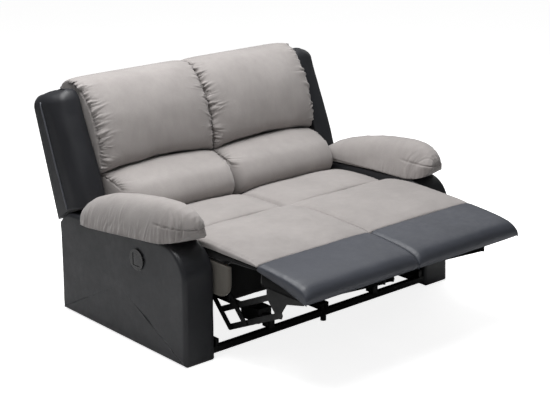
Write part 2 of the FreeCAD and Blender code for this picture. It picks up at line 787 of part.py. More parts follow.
def make_back(name, side):
    pieces = []
    rail_low, rail_high = layer("inner", 1)[1], layer("outer", 1)[0]
    for low, high in ((rail_low, f"{rail_low} + back_board"), (f"{rail_high} - back_board", rail_high)):
        pieces.append(block(side, low, high, "frame_face", "frame_rear", "back_foot", "back_top"))
    for low_z in ("back_foot", "groove_height - back_rail", "back_top - back_rail"):
        pieces.append(block(side, f"{rail_low} + back_board", f"{rail_high} - back_board", "frame_face",
                            "frame_rear", low_z, f"{low_z} + back_rail"))
    for row in ("outer", "inner"):
        low, high = layer(row, 1)
        arm = plate(side, low, high, [
            ("20", "-18"),
            ("frame_rear", "back_foot - 20"),
            ("frame_rear", "bracket_reach"),
            ("frame_face", "bracket_reach"),
            ("frame_face", "back_foot + 50"),
            ("-18", "14"),
            ("-14", "-18"),
        ])
        reach = layer(row, 0)
        start, end = (low, reach[1]) if row == "outer" else (reach[0], high)
        pivot = rod("x", side, "pivot_radius", start, end, "0", "0")
        pieces.append(fuse([arm, pivot]))
    node(f"{name}_back_frame", group(pieces), "back")
    upper = block(side, "side_in", "arm_out - 2", "frame_rear", "frame_rear + back_panel",
                  "notch_radius + notch_gap", "back_top")
    lower = block(side, "side_in", "side_out", "frame_rear", "frame_rear + back_panel", "back_foot - 20",
                  "notch_radius + notch_gap")
    clear = rod("x", side, "notch_radius + notch_gap", "side_out + 1", "arm_out + 1", "0", "0")
    above = block(side, "side_out + 12", "arm_out + 1", "frame_rear - 1", "frame_rear + back_panel + 1",
                  "wing_top", "back_top + 1")
    corner = block(side, "arm_out - 2 - wing_corner", "arm_out + 1", "frame_rear - 1",
                   "frame_rear + back_panel + 1", "wing_top - wing_corner", "wing_top + 1")
    bend = rod("y", side, "wing_corner", "frame_rear - 2", "frame_rear + back_panel + 2",
               "arm_out - 2 - wing_corner", "wing_top - wing_corner")
    node(f"{name}_back_panel", cut(fuse([upper, lower]), [clear, above, cut(corner, [bend])]), "back")
    node(f"{name}_upper_cushion", solid(upper_cushion(), side < 0), "back")
    node(f"{name}_lumbar_cushion", solid(lumbar_cushion(), side < 0), "back")
    node(f"{name}_back_wing", solid(back_wing(), side < 0), "back")


def upper_cushion():
    """The upper back cushion, which rolls over the top rail."""
    low, high = val("soft_gap"), val("side_out") + 10
    face, rear = val("frame_face") - val("soft_gap"), val("frame_rear")
    top = val("back_top") + val("soft_gap")
    groove, crown, peak = val("groove_height"), val("upper_crown"), val("cushion_top")
    wires = []
    for x, share in stations(low, high, 60):
        bulge = (crown - 80) * share
        tuck = 12 * (1 - share)
        points = [
            (face, groove + 2),
            (face, top),
            (rear, top),
            ((50.0, peak - tuck * 0.3), (-6 - bulge * 0.2, peak - 12 - tuck)),
            ((-58 - bulge * 0.8, peak - 128), (-80 - bulge, groove + 150)),
            ((-86 - bulge * 0.7, groove + 60), (-64 - bulge * 0.3, groove + 2)),
        ]
        wires.append(ring(points, across(x)))
    return loft(wires)


def lumbar_cushion():
    """The lumbar roll, fullest near the seat."""
    low, high = val("soft_gap"), val("side_out") - 2
    face, groove, crown = val("frame_face") - val("soft_gap"), val("groove_height"), val("lumbar_crown")
    wires = []
    for x, share in stations(low, high, 60):
        bulge = (crown - 114) * share
        points = [
            (face, 124.0),
            (face, groove - 0.3),
            (-66 - bulge * 0.25, groove - 0.3),
            ((-101 - bulge * 0.78, groove - 72), (-114 - bulge, 176.0)),
            ((-112 - bulge * 0.97, 158.0), (-104 - bulge * 0.75, 153.0)),
            (-84 - bulge * 0.2, 137.0),
        ]
        wires.append(ring(points, across(x)))
    return loft(wires)


def back_wing():
    """The side wing of the back above the arm, with a round underside about the recline pivot."""
    low, high, top = val("side_out") + 11, val("arm_out") - 2, val("wing_top")
    rear = val("frame_rear") - val("soft_gap")
    # x, then the depth of the front at five heights
    shapes = [(low, (30, -18, -38, -40, -22)), ((low + high) / 2 + 6, (26, -20, -42, -44, -28)),
              (high, (72, 60, 42, 26, 24))]
    wires = []
    for x, depths in shapes:
        points = [
            (rear, 150.0),
            (rear, top),
            (depths[0], top - 4),
            ((depths[1], top - 70), (depths[2], top - 230)),
            ((depths[3], top - 380), (depths[4], 150.0)),
        ]
        wires.append(ring(points, across(x)))
    notch = Part.makeCylinder(val("notch_radius + notch_gap"), high - low + 60, Vector(low - 30, 0, 0),
                              Vector(1, 0, 0))
    radius = val("wing_corner")
    corner = Part.makeBox(radius + 5, 400, radius + 5, Vector(high - radius, rear - 390, top - radius))
    bend = Part.makeCylinder(radius, 420, Vector(high - radius, rear - 400, top - radius), Vector(0, 1, 0))
    return loft(wires).cut([notch, corner.cut(bend)])


make_arm_frames()
make_base()
for side_name, sign in SIDES.items():
    make_arm_cover(side_name, sign)
    make_arm_pad(side_name, sign)
    make_control(side_name, sign)
    make_motor(side_name, sign)
    make_seat(side_name, sign)
    make_footrest(side_name, sign)
    make_links(side_name, sign)
    make_back(side_name, sign)
doc.recompute()

for thing in doc.Objects:
    if "Invalid" in thing.State or "Error" in thing.State:
        raise RuntimeError(f"{thing.Label} failed: {thing.State}")
os.makedirs("parts", exist_ok=True)
for thing in NODES:
    if thing.Shape.isNull() or not thing.Shape.isValid():
        raise RuntimeError(f"{thing.Label} has no valid shape")
for thing in NODES:
    thing.Shape.exportStep(f"parts/{thing.Label}.step")
print(len(NODES), "nodes")
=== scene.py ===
import bpy
import json
import math
import numpy as np
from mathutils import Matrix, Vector


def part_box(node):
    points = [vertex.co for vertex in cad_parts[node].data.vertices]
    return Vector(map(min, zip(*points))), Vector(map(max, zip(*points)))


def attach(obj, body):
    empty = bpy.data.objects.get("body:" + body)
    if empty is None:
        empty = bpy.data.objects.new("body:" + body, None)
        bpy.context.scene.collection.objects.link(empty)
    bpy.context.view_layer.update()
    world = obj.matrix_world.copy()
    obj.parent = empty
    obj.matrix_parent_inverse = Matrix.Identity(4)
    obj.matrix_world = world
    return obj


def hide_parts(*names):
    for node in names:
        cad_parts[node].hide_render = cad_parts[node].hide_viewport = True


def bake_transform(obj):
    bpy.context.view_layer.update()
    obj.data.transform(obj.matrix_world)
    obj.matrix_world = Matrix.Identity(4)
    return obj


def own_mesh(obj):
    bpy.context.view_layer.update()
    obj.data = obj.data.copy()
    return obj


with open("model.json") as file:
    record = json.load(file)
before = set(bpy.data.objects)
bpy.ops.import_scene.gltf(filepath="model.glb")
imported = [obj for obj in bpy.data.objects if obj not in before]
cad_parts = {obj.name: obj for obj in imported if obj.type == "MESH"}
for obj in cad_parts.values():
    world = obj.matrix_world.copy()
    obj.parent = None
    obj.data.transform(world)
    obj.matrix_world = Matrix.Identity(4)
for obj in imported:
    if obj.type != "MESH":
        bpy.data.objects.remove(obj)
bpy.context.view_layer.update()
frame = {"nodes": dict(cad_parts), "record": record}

# The pieces are drawn in millimetres in the sofa's own places: y is 0 at the fronts of the arms.
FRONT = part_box("left_arm_cover")[0][1]
SIDES = {"left": -1, "right": 1}
LEAN = math.radians(18)
PIVOT = (690.0, 260.0)
BOARD_TOP = 409.3
ARM_IN, ARM_OUT = 601.0, 750.0
# Radii about the recline pivot: the arc in the arm's top, and the wing's underside over it.
ARM_SWING, WING_SWING = 209.0, 217.6
# Depths in a back: the cushions' flat rear on the frame, and the frame's rear.
CUSHION_REAR, FRAME_REAR = 61.7, 110.0
# The wing's height up the lean, and the radius of its top corner.
WING_TOP, WING_CORNER = 716.0, 55.0
# How far a cushion's side folds keep from the plane between the two backs, in metres.
MIDDLE_GAP = 0.0003
# The middle of the control on an arm's outer side, as y and z, and the radius of the hole for its housing.
CONTROL = (298.0, 374.0)
CONTROL_HOLE = 36.3


# Shapes

def row(x, y, z):
    """Points in the row frame, in metres."""
    return np.stack(np.broadcast_arrays(x, y, z), -1) / 1000 + np.array([0.0, FRONT, 0.0])


def back_row(x, depth, height):
    """Points of a back, given by their depth behind the recline pivot and height along the lean."""
    y = PIVOT[0] + depth * math.cos(LEAN) + height * math.sin(LEAN)
    z = PIVOT[1] + height * math.cos(LEAN) - depth * math.sin(LEAN)
    return row(x, y, z)


def noise(x, y, seed):
    """Smooth noise from -1 to 1."""
    x, y = np.broadcast_arrays(np.asarray(x, float), np.asarray(y, float))
    table = np.random.RandomState(seed).rand(64, 64) * 2 - 1
    xi, yi = np.floor(x).astype(int), np.floor(y).astype(int)
    fx, fy = x - xi, y - yi
    fx, fy = fx * fx * (3 - 2 * fx), fy * fy * (3 - 2 * fy)
    a, b = table[xi % 64, yi % 64], table[(xi + 1) % 64, yi % 64]
    c, d = table[xi % 64, (yi + 1) % 64], table[(xi + 1) % 64, (yi + 1) % 64]
    return (a * (1 - fx) + b * fx) * (1 - fy) + (c * (1 - fx) + d * fx) * fy


def ripples(x, y, seed, *waves):
    """Layers of smooth noise, each given by its length in x, its length in y and its height."""
    return sum(noise(x / wide, y / long, seed + k) * high for k, (wide, long, high) in enumerate(waves))


def ease(x, low, high):
    """A soft step from 0 at low to 1 at high."""
    t = np.clip((x - low) / (high - low), 0, 1)
    return t * t * (3 - 2 * t)


def hump(distance, width):
    """A round hump, 1 in its middle."""
    return np.exp(-(distance / width) ** 2)


def curve(points, count):
    """count points, evenly spaced, on a smooth curve through the given points."""
    p = np.array(points, float)
    # one more point at each end, straight on
    p = np.vstack([2 * p[0] - p[1], p, 2 * p[-1] - p[-2]])
    spots = []
    for a, b, c, d in zip(p, p[1:], p[2:], p[3:]):
        for t in np.linspace(0, 1, 24, endpoint=False):
            spots.append(0.5 * (2 * b + (c - a) * t + (2 * a - 5 * b + 4 * c - d) * t ** 2
                                + (3 * b - a - 3 * c + d) * t ** 3))
    spots.append(p[-2])
    return evenly(np.array(spots), count)


def evenly(spots, count, closed=False):
    """count points in even steps along a line of points."""
    step = np.linalg.norm(np.diff(spots, axis=0), axis=1)
    run = np.concatenate([[0], np.cumsum(step)])
    at = np.linspace(0, run[-1], count + 1 if closed else count)
    if closed:
        at = at[:-1]
    return np.stack([np.interp(at, run, spots[:, k]) for k in range(spots.shape[1])], 1)


def in_row(grid):
    """The points' places in the row frame, in millimetres, with x from the middle outwards."""
    return np.abs(grid[..., 0]) * 1000, (grid[..., 1] - FRONT) * 1000, grid[..., 2] * 1000


def normals(grid):
    """Outward directions of a grid of points that is closed around its second axis."""
    around = np.roll(grid, -1, 1) - np.roll(grid, 1, 1)
    across = np.gradient(grid, axis=0)
    n = np.cross(around, across)
    n /= np.maximum(np.linalg.norm(n, axis=2, keepdims=True), 1e-9)
    outward = grid - grid.mean((0, 1))
    if (n * outward).sum() < 0:
        n = -n
    return n


def grid_mesh(name, grid):
    """A closed mesh: rings of points, closed around, with a point at each end."""
    rows, columns = grid.shape[:2]
    verts = grid.reshape(-1, 3)
    faces = []
    for i in range(rows - 1):
        for j in range(columns):
            k = (j + 1) % columns
            faces.append((i * columns + j, i * columns + k, (i + 1) * columns + k, (i + 1) * columns + j))
    verts = np.vstack([verts, grid[0].mean(0), grid[-1].mean(0)])
    first, last = rows * columns, rows * columns + 1
    for j in range(columns):
        k = (j + 1) % columns
        faces.append((first, k, j))
        faces.append((last, (rows - 1) * columns + j, (rows - 1) * columns + k))
    return mesh_object(name, verts, faces)


def mesh_object(name, verts, faces):
    """An object with smooth faces that all look outwards."""
    mesh = bpy.data.meshes.new(name)
    mesh.from_pydata([tuple(v) for v in verts], [], [tuple(int(i) for i in f) for f in faces])
    mesh.update()
    obj = bpy.data.objects.new(name, mesh)
    bpy.context.scene.collection.objects.link(obj)
    bpy.context.view_layer.objects.active = obj
    bpy.ops.object.select_all(action="DESELECT")
    obj.select_set(True)
    bpy.ops.object.mode_set(mode="EDIT")
    bpy.ops.mesh.select_all(action="SELECT")
    bpy.ops.mesh.normals_make_consistent(inside=False)
    bpy.ops.object.mode_set(mode="OBJECT")
    mesh.shade_smooth()
    return obj


def capped(rings, bulge, steps):
    """Rings with a domed end at each side."""
    ends = []
    for ring, beside in ((rings[0], rings[1]), (rings[-1], rings[-2])):
        centre = ring.mean(0)
        out = centre - beside.mean(0)
        out /= np.linalg.norm(out)
        ends.append([centre + (ring - centre) * k + out * bulge * (1 - k * k) for k in steps])
    return np.array(ends[0][::-1] + list(rings) + ends[1])


def swollen(low, high, count, power, depth=150.0):
    """Places from low to high across a cushion, and how full it is at each, from 0 at the sides to 1."""
    turn = 0.93
    flat = np.linspace(-turn, turn, 400)
    rise = np.linspace(0, (1 - turn ** power) ** (1 / power), 300)[:-1]
    side = (1 - rise ** power) ** (1 / power)
    spread = np.concatenate([-side, flat, side[::-1]])
    full = np.concatenate([rise, (1 - np.abs(flat) ** power) ** (1 / power), rise[::-1]])
    half = (high - low) / 2
    spots = evenly(np.stack([spread * half, full * depth], 1), count)
    return (low + high) / 2 + spots[:, 0], np.clip(spots[:, 1] / depth, 0, 1)


def gathers(along, away, pitch, reach, seed, slant=0.0):
    """Short folds that run away from a seam, from 0 to 1 in height."""
    line = along + slant * away
    place = line / pitch + 0.5 * noise(along / 45, away / 70, seed)
    fold = noise(place, away / 120, seed + 1) + 0.5 * noise(place * 2.1, away / 50, seed + 2)
    length = reach * (0.8 + 0.6 * noise(along / (1.7 * pitch), 0.5, seed + 3))
    return np.abs(fold) ** 0.75 * hump(away, length)


def tube(name, path, radius, segments=8):
    """A round bead along a path in metres."""
    path = np.array(path, float)
    tangent = np.gradient(path, axis=0)
    tangent /= np.linalg.norm(tangent, axis=1, keepdims=True)
    up = np.array([0.31, 0.22, 0.93])
    side = np.cross(tangent, up)
    side /= np.linalg.norm(side, axis=1, keepdims=True)
    other = np.cross(tangent, side)
    turn = np.linspace(0, 2 * math.pi, segments, endpoint=False)
    rings = path[:, None] + radius * (np.cos(turn)[None, :, None] * side[:, None]
                                      + np.sin(turn)[None, :, None] * other[:, None])
    return grid_mesh(name, rings)


# Materials

def srgb(r, g, b):
    """A colour in the shader's linear values."""
    def one(c):
        c /= 255
        return c / 12.92 if c <= 0.04045 else ((c + 0.055) / 1.055) ** 2.4
    return (one(r), one(g), one(b), 1.0)


class Nodes:
    """A short way to build a material."""

    def __init__(self, name):
        self.material = bpy.data.materials.new(name)
        self.material.use_nodes = True
        self.tree = self.material.node_tree
        self.shader = self.tree.nodes["Principled BSDF"]
        self.place = self.add("ShaderNodeTexCoord").outputs["Object"]

    def add(self, kind, **sockets):
        made = self.tree.nodes.new(kind)
        for name, value in sockets.items():
            self.put(made.inputs[name.replace("_", " ")], value)
        return made

    def put(self, socket, value):
        if isinstance(value, bpy.types.NodeSocket):
            self.tree.links.new(value, socket)
        else:
            socket.default_value = value

    def noise(self, scale, detail=2.0, rough=0.5, stretch=None):
        place = self.place
        if stretch:
            mapping = self.add("ShaderNodeMapping", Vector=place)
            mapping.inputs["Scale"].default_value = stretch
            place = mapping.outputs[0]
        made = self.add("ShaderNodeTexNoise", Vector=place, Scale=scale, Detail=detail, Roughness=rough)
        return made.outputs["Fac"]

    def ramp(self, value, low, high, first, second):
        made = self.add("ShaderNodeMapRange", Value=value)
        for name, number in (("From Min", low), ("From Max", high), ("To Min", first), ("To Max", second)):
            made.inputs[name].default_value = number
        return made.outputs[0]

    def times(self, a, b):
        made = self.add("ShaderNodeMath")
        made.operation = "MULTIPLY"
        self.put(made.inputs[0], a)
        self.put(made.inputs[1], b)
        return made.outputs[0]

    def shade(self, colour, amount):
        """The colour, lighter and darker by a factor."""
        made = self.add("ShaderNodeMix")
        made.data_type = "RGBA"
        made.blend_type = "MULTIPLY"
        made.inputs["Factor"].default_value = 1.0
        self.put(made.inputs[6], colour)
        joined = self.add("ShaderNodeCombineColor", Red=amount, Green=amount, Blue=amount)
        self.put(made.inputs[7], joined.outputs[0])
        return made.outputs[2]

    def bump(self, height, strength, distance, below=None):
        made = self.add("ShaderNodeBump", Height=height)
        made.inputs["Strength"].default_value = strength
        made.inputs["Distance"].default_value = distance
        if below is not None:
            self.put(made.inputs["Normal"], below)
        return made.outputs[0]

    def finish(self, **sockets):
        for name, value in sockets.items():
            self.put(self.shader.inputs[name.replace("_", " ")], value)
        return self.material


def microfibre(name, colour):
    """Brushed cloth with a fine nap."""
    n = Nodes(name)
    patches = n.ramp(n.noise(5.0, 3.0, 0.55), 0.3, 0.7, 0.93, 1.07)
    strokes = n.ramp(n.noise(34.0, 3.0, 0.6, (1.0, 1.0, 0.35)), 0.3, 0.7, 0.965, 1.035)
    nap = n.ramp(n.noise(900.0, 2.0, 0.6), 0.3, 0.7, 0.94, 1.06)
    paint = n.shade(n.shade(n.shade(colour, patches), strokes), nap)
    bump = n.bump(n.noise(70.0, 3.0, 0.6), 0.12, 0.004)
    bump = n.bump(n.noise(1300.0, 2.0, 0.6), 0.35, 0.0006, bump)
    return n.finish(Base_Color=paint, Roughness=0.92, Specular_IOR_Level=0.15, Sheen_Weight=0.3,
                    Sheen_Roughness=0.45, Normal=bump)


def faux_leather(name, colour, roughness):
    """Coated cloth with a fine pebbled grain."""
    n = Nodes(name)
    patches = n.ramp(n.noise(6.0, 2.0, 0.5), 0.3, 0.7, 0.93, 1.07)
    paint = n.shade(colour, patches)
    grain = n.add("ShaderNodeTexVoronoi", Vector=n.place, Scale=520.0)
    grain.feature = "SMOOTH_F1"
    grain.inputs["Smoothness"].default_value = 0.6
    paint = n.shade(paint, n.ramp(grain.outputs["Distance"], 0.1, 0.7, 1.04, 0.9))
    bump = n.bump(n.noise(11.0, 3.0, 0.5), 0.25, 0.006)
    bump = n.bump(grain.outputs["Distance"], 0.22, 0.0005, bump)
    rough = n.ramp(n.noise(38.0, 3.0, 0.6), 0.3, 0.7, roughness - 0.05, roughness + 0.06)
    return n.finish(Base_Color=paint, Roughness=rough, Specular_IOR_Level=0.45, Normal=bump)


def painted_steel(name, colour, roughness=0.4, metallic=0.0):
    """Sheet or bar steel, painted or bare."""
    n = Nodes(name)
    paint = n.shade(colour, n.ramp(n.noise(14.0, 4.0, 0.6), 0.3, 0.7, 0.85, 1.2))
    bump = n.bump(n.noise(650.0, 2.0, 0.5), 0.12, 0.0004)
    rough = n.ramp(n.noise(60.0, 4.0, 0.65), 0.3, 0.7, roughness - 0.08, roughness + 0.12)
    return n.finish(Base_Color=paint, Roughness=rough, Metallic=metallic, Specular_IOR_Level=0.3, Normal=bump)


def bare_wood(name, colour):
    """Unpainted boards with a long grain."""
    n = Nodes(name)
    grain = n.ramp(n.noise(16.0, 5.0, 0.65, (1.0, 0.06, 1.0)), 0.3, 0.7, 0.72, 1.15)
    bump = n.bump(n.noise(120.0, 3.0, 0.6, (1.0, 0.05, 1.0)), 0.2, 0.0008)
    return n.finish(Base_Color=n.shade(colour, grain), Roughness=0.72, Normal=bump)


def moulded(name, colour, roughness):
    """A moulded plastic."""
    n = Nodes(name)
    bump = n.bump(n.noise(800.0, 2.0, 0.5), 0.1, 0.0003)
    rough = n.ramp(n.noise(25.0, 3.0, 0.6), 0.3, 0.7, roughness - 0.05, roughness + 0.08)
    paint = n.shade(colour, n.ramp(n.noise(9.0, 2.0, 0.5), 0.3, 0.7, 0.92, 1.08))
    return n.finish(Base_Color=paint, Roughness=rough, Normal=bump)


GREY = microfibre("grey_microfibre", srgb(160, 155, 153))
DARK = faux_leather("dark_leather", srgb(37, 38, 42), 0.44)
# A lighter copy of the dark leather for the wing's piping: a painted highlight along the piped edge.
PIPING_HIGHLIGHT = faux_leather("piping_leather_painted_highlight", srgb(84, 86, 92), 0.4)
SLATE = faux_leather("footrest_leather", srgb(70, 73, 81), 0.46)
# A darker copy of the grey microfibre for the seat's side boards: painted shade.
SHADED = microfibre("seat_side_microfibre_painted_shade", srgb(108, 104, 97))
# Black lining cloth. Under the chaise the same black also stands in for the shade below the cushion's thin edge:
# painted shade.
LINING_AND_PAINTED_SHADE = microfibre("black_lining_and_painted_shade", srgb(9, 9, 9))
WOOD = bare_wood("frame_wood", srgb(176, 146, 108))
STEEL = painted_steel("black_steel", srgb(8, 8, 9))
SPRING = painted_steel("spring_steel", srgb(126, 126, 128), 0.36, 0.9)
NYLON = moulded("nylon", srgb(28, 28, 29), 0.5)
MOTOR = moulded("motor_plastic", srgb(30, 30, 31), 0.48)
GLOSS = moulded("control_black", srgb(26, 26, 28), 0.24)

FINISHES = {"grey_microfibre": GREY, "dark_leather": DARK, "footrest_leather": SLATE, "frame_wood": WOOD,
            "black_steel": STEEL, "spring_steel": SPRING, "nylon": NYLON, "motor_plastic": MOTOR,
            "control_black": GLOSS}

for part in frame["record"]["subparts"]:
    shown = frame["nodes"][part["node"]]
    shown.data.materials.clear()
    shown.data.materials.append(FINISHES[part["material_slot"]])


def dress(obj, material, slot, body, *nodes, soft=None):
    """Gives a piece its material and its body, and hides the CAD nodes it stands for."""
    obj.data.materials.clear()
    obj.data.materials.append(material)
    if body:
        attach(obj, body)
    if nodes:
        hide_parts(*nodes)


# Backs

# Outlines from the side, as depth and height in the leaning back.
UPPER_GROOVE, LUMBAR_GROOVE, GROOVE_ARCH = 340.0, 337.7, 20
UPPER_REAR_TOP = 735.3
UPPER_FRONT = [(CUSHION_REAR, UPPER_GROOVE), (0, UPPER_GROOVE), (-66, UPPER_GROOVE + 2), (-96, UPPER_GROOVE + 16),
               (-114, UPPER_GROOVE + 60), (-125, UPPER_GROOVE + 140), (-122, 570), (-98, 650), (-56, 714), (0, 750),
               (52, 762), (94, 754), (FRAME_REAR, UPPER_REAR_TOP)]
LUMBAR_FRONT = [(CUSHION_REAR, LUMBAR_GROOVE), (0, LUMBAR_GROOVE), (-62, LUMBAR_GROOVE - 2),
                (-104, LUMBAR_GROOVE - 14), (-160, LUMBAR_GROOVE - 48), (-206, 252), (-226, 200), (-220, 158),
                (-186, 128), (-130, 114), (-70, 112), (20, 118), (CUSHION_REAR, 124)]
# The gathers at the side seams: the seam's distance behind the front, the folds' spacing, length and height,
# where on the outline they end, and the height of the upright folds over the groove.
UPPER_FOLDS = {"seam": 48, "pitch": 15, "reach": 56, "height": 14.0, "end": 640, "low": 5.0}
LUMBAR_FOLDS = {"seam": 60, "pitch": 14, "reach": 50, "height": 10.0, "end": 330, "low": 0.0}
# The piping's height on the wing, and its depth there.
PIPING = ([215, 420, 613, 700], [32, 48, 59, 66])
# The wing's outer side and the height where its foot ends.
WING_OUT, WING_FOOT = 748, 222


def back_roll(name, sign, front, width, span, round_off, seed, folds):
    """A back cushion: its front outline, swollen between gathered side seams, flat against the frame.

    front runs round the cushion from the groove between the two cushions. width is where it starts and ends
    across the back, and span the lowest and highest place of its flat rear. A rear that rolls over the frame's top
    says so with a third number, its depth there.
    """
    low, high = width
    base = np.stack([np.full(len(front), CUSHION_REAR), np.clip(front[:, 1], span[0], span[1])], 1)
    if len(span) > 2:
        base[:, 0] = np.clip(front[:, 0], CUSHION_REAR, span[2])
    thick = np.abs(front[:, 0] - base[:, 0])
    xs, full = swollen(low, high, 140, round_off, thick.max())
    ring = np.linalg.norm(np.diff(front, axis=0, prepend=front[:1]), axis=1).cumsum()
    depth = base[None, :, 0] + full[:, None] * (front - base)[None, :, 0]
    height = base[None, :, 1] + full[:, None] * (front - base)[None, :, 1]
    # the groove between the two cushions is an arch
    mid, half = (low + high) / 2, (high - low) / 2
    rise = GROOVE_ARCH * (1 - ((xs - mid) / half) ** 2)
    height = height + rise[:, None] * hump(height - front[0][1], 50)
    end = front[-1]
    spare = np.linspace(0, 1, 14)[1:-1]
    back = np.repeat((end + (front[0] - end) * spare[:, None])[None], len(xs), 0)
    depth, height = np.hstack([depth, back[..., 0]]), np.hstack([height, back[..., 1]])
    grid = back_row(sign * np.repeat(xs[:, None], depth.shape[1], 1), depth, height)

    along = np.concatenate([ring, np.full(len(spare), ring[-1])])[None, :]
    out = xs[:, None]
    live = ease(along, 4, 34) * (1 - ease(along, folds["end"] - 60, folds["end"]))
    lift = np.zeros(grid.shape[:2])
    slant = np.where(along < ring[-1] * 0.35, 0.45, -0.35)
    # distance over the surface from each side of the cushion, and the side seam on its round edge
    thick = np.concatenate([thick, np.full(len(spare), thick[-1])])
    step = np.hypot(np.diff(xs)[:, None], np.diff(full)[:, None] * thick[None, :])
    run = np.vstack([np.zeros(len(thick)), step.cumsum(0)])
    seam = np.maximum(thick - folds["seam"], 16)[None, :]
    for salt, from_edge in ((0, run[-1:] - run), (5, run)):
        away = np.maximum(from_edge - seam, 0)
        before = np.maximum(seam - from_edge, 0)
        puffs = gathers(along, away, folds["pitch"], folds["reach"], seed + salt, slant)
        lift += live * (folds["height"] * (puffs - 0.35 * hump(away, 26)) * (away > 0)) * ease(away, 0.5, 7)
        lift += live * 2.6 * gathers(along, before, folds["pitch"] * 1.2, 14, seed + salt + 7) * (before > 0)
        lift -= 5.5 * hump(from_edge - seam, 3.6) * live
    inside = ease(high - out, 30, 110) * ease(out - low, 30, 110)
    lift += ripples(out, along, seed + 9, (105, 130, 3.4), (42, 80, 1.1)) * inside * live
    upright_folds = noise(out / 15, along / 130, seed + 12) * hump(along, 95) * ease(along, 12, 40)
    lift += folds["low"] * upright_folds * inside
    grid = grid + normals(grid) * (lift / 1000)[..., None]
    grid[..., 0] = sign * np.maximum(sign * grid[..., 0], MIDDLE_GAP)
    return grid_mesh(name, grid)


def upper_cushion(side, sign):
    """The upper back cushion, rolled over the top rail."""
    obj = back_roll(f"{side}_upper_cushion_cover", sign, curve(UPPER_FRONT, 300), (0.6, 602),
                    (UPPER_GROOVE, UPPER_REAR_TOP, FRAME_REAR), 7.0, 20 if sign > 0 else 40, UPPER_FOLDS)
    dress(obj, GREY, "grey_microfibre", f"{side}_back", f"{side}_upper_cushion", soft=0.7)


def lumbar_cushion(side, sign):
    """The lumbar roll, fullest near the seat."""
    obj = back_roll(f"{side}_lumbar_roll", sign, curve(LUMBAR_FRONT, 220), (0.6, 591), (112, LUMBAR_GROOVE), 6.0,
                    120 if sign > 0 else 140, LUMBAR_FOLDS)
    dress(obj, GREY, "grey_microfibre", f"{side}_back", f"{side}_lumbar_cushion", soft=0.7)


def wing_section(level):
    """The wing's outline across the back at a height, as x and depth, before its foot is made round."""
    rear = 109.7
    turn = max(0.0, (level - (WING_TOP - WING_CORNER)) / WING_CORNER)
    bend = 1 - math.sqrt(max(0.0, 1 - turn ** 2))
    outer, inner = WING_OUT - WING_CORNER * bend, 604 + 10 * bend
    nose = -66 + 34 * ease(level, 300, 700) + 44 * bend
    edge = min(np.interp(level, *PIPING) + 30 * bend, rear - 16)
    front = curve([(inner, nose + 40), (inner + 3, nose + 10), (inner + 18, nose - 2), (inner + 50, nose - 7),
                   (outer - 48, nose + 2), (outer - 16, nose * 0.5 + edge * 0.5 - 12), (outer - 3, edge - 20),
                   (outer, edge)], 64)
    return np.vstack([np.linspace((inner, rear), (inner, nose + 40), 9)[:-1], front,
                      np.linspace((outer, edge), (outer, rear), 12)[1:],
                      np.linspace((outer, rear), (inner, rear), 14)[1:-1]])


def back_wing(side, sign):
    """The side wing: a rounded front panel, a piped seam and a flat strip on the outer side."""
    rings = []
    for k in np.concatenate([np.linspace(0, 0.86, 54), 0.86 + 0.14 * np.sin(np.linspace(0.08, 1, 16) * math.pi / 2)]):
        section = wing_section(WING_FOOT + (WING_TOP - WING_FOOT) * k)
        foot = np.sqrt(np.maximum(WING_SWING ** 2 - section[:, 1] ** 2, 0))
        rings.append(np.stack([section[:, 0], section[:, 1], foot + (WING_TOP - foot) * k], 1))
    # the underside follows the circle that it swings on
    first, last = rings[0], rings[-1]
    for k in (0.85, 0.65, 0.45, 0.25, 0.08):
        spots = first.mean(0) + (first - first.mean(0)) * k
        spots[:, 2] = np.sqrt(WING_SWING ** 2 - spots[:, 1] ** 2)
        rings.insert(0, spots)
    # the top is a low dome
    for k, rise in ((0.96, 1.2), (0.86, 2.6), (0.68, 3.8), (0.45, 4.6), (0.2, 5.0)):
        spots = last.mean(0) + (last - last.mean(0)) * k
        spots[:, 2] += rise
        rings.append(spots)
    rings = np.array(rings)
    grid = back_row(sign * rings[..., 0], rings[..., 1], rings[..., 2])
    place = np.arange(grid.shape[1])[None, :]
    lift = ripples(place * 5.0, rings[..., 2], 210 if sign > 0 else 230, (90, 150, 2.4), (34, 50, 0.7))
    on_front = ((place > 8) & (place < 70)) * ease(rings[..., 2], WING_FOOT, 300)
    grid = grid + normals(grid) * (lift * on_front / 1000)[..., None]
    wing = grid_mesh(f"{side}_wing_cover", grid)
    dress(wing, DARK, "dark_leather", f"{side}_back", f"{side}_back_wing")

    levels = np.linspace(WING_FOOT, WING_TOP - WING_CORNER + 20, 60)
    turn = np.maximum(0, (levels - (WING_TOP - WING_CORNER)) / WING_CORNER)
    x = WING_OUT + 1 - WING_CORNER * (1 - np.sqrt(1 - turn ** 2))
    # The piping bead wears the lighter leather, a painted highlight along the seam.
    bead = tube(f"{side}_wing_piping", back_row(sign * x, np.interp(levels, *PIPING) - 0.5, levels), 0.0036)
    dress(bead, PIPING_HIGHLIGHT, "dark_leather", f"{side}_back")


def panel_reach(level):
    """How far out the rear cover goes at a height: to the bracket, the wing or the upper cushion."""
    if level <= 187:
        return 593.0
    if level > WING_TOP:
        return 603.0
    turn = max(0.0, (level - (WING_TOP - WING_CORNER)) / WING_CORNER)
    return WING_OUT - WING_CORNER + WING_CORNER * math.sqrt(max(0.0, 1 - turn ** 2))


